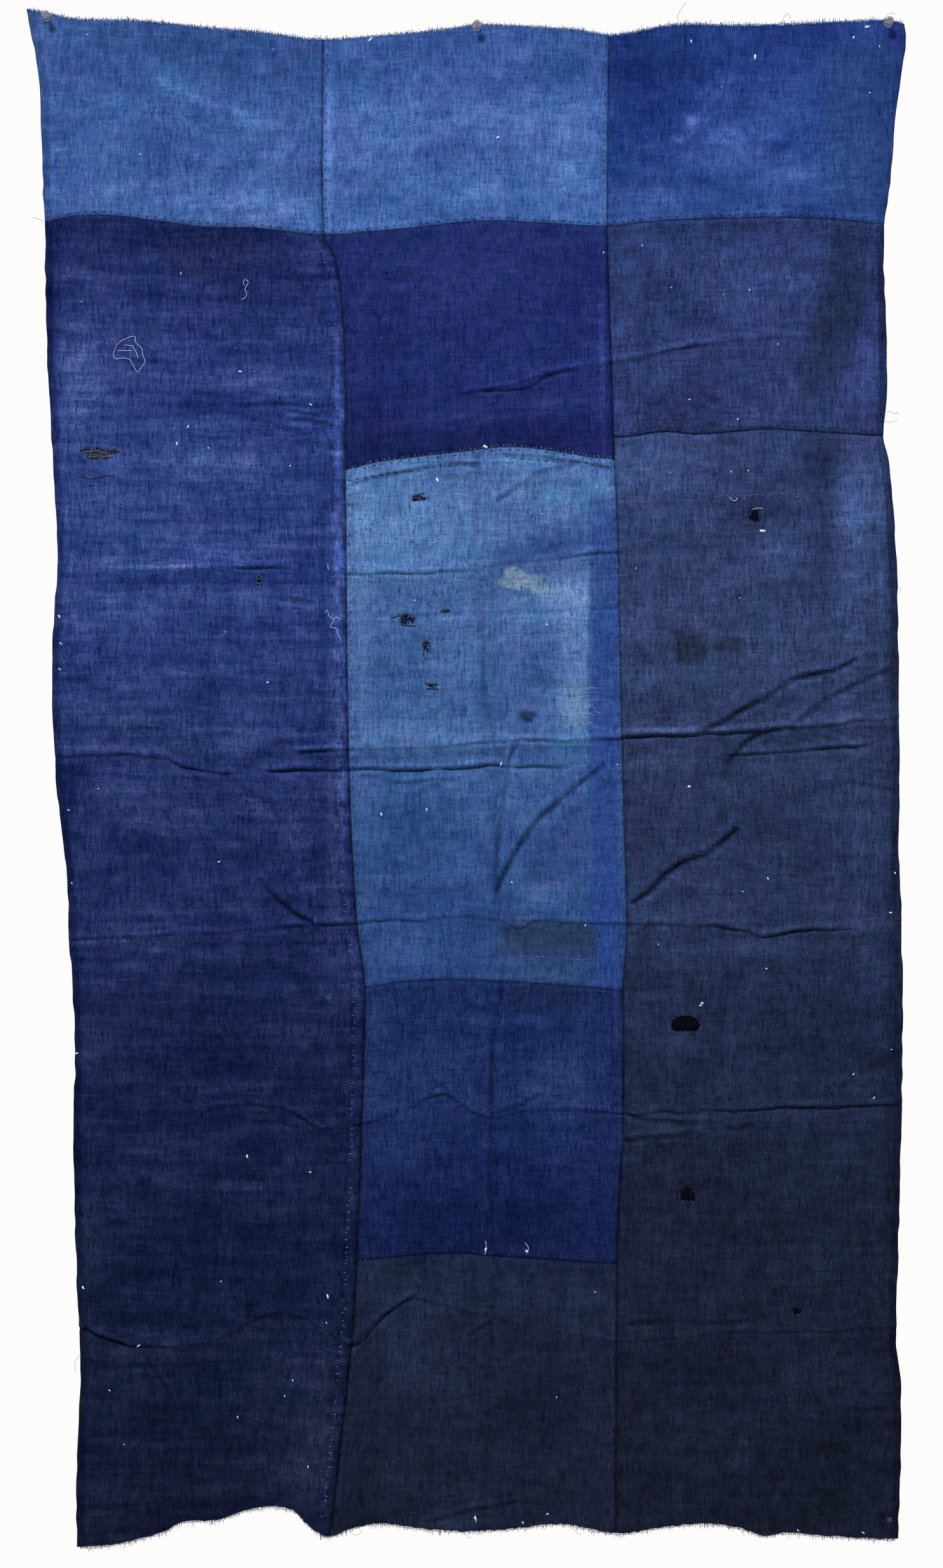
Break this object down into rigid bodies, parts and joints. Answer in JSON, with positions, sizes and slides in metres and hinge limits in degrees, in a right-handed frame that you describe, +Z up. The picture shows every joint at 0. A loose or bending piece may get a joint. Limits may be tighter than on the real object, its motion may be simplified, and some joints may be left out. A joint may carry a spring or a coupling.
{
  "type": "boro patched cloth hanging from push pins",
  "caption": "Pieced and mended indigo cotton sheet, hung flat from clear push pins along its top edge.",
  "frame": {"origin": "the point on the top edge where the middle push pin enters the sheet", "axes": "+X to the right along the sheet, +Y back towards what it hangs against, +Z up"},
  "size_m": [1.0083, 0.0452, 1.7617],
  "materials": {
    "indigo_mid": "worn mid-blue indigo cotton, plain weave",
    "indigo_dark": "dark indigo cotton with faded streaks, plain weave",
    "indigo_navy": "navy indigo cotton, plain weave",
    "indigo_light": "faded light indigo cotton, plain weave",
    "indigo_charcoal": "charcoal blue cotton, plain weave",
    "indigo_grey": "grey-blue indigo cotton, plain weave",
    "backing_cloth": "dark cotton scraps sewn behind worn holes",
    "thread": "pale cotton sewing thread and lint",
    "clear_plastic": "clear moulded plastic",
    "steel": "bright steel wire"
  },
  "bodies": {
    "root": {"top_left": "indigo_mid", "top_middle": "indigo_mid", "top_right": "indigo_mid", "left_long": "indigo_dark", "middle_navy": "indigo_navy", "middle_light": "indigo_light", "middle_mid": "indigo_dark", "middle_charcoal": "indigo_charcoal", "right_upper": "indigo_grey", "right_long": "indigo_grey", "backing_left_brown": "backing_cloth", "backing_left_slot": "backing_cloth", "backing_light": "backing_cloth", "backing_right_mend": "backing_cloth", "backing_right_arch": "backing_cloth", "backing_right_low": "backing_cloth", "backing_right_small": "backing_cloth", "pin_head_left": "clear_plastic", "pin_head_middle": "clear_plastic", "pin_head_right": "clear_plastic", "pin_needle_left": "steel", "pin_needle_middle": "steel", "pin_needle_right": "steel"}
  },
  "joints": []
}
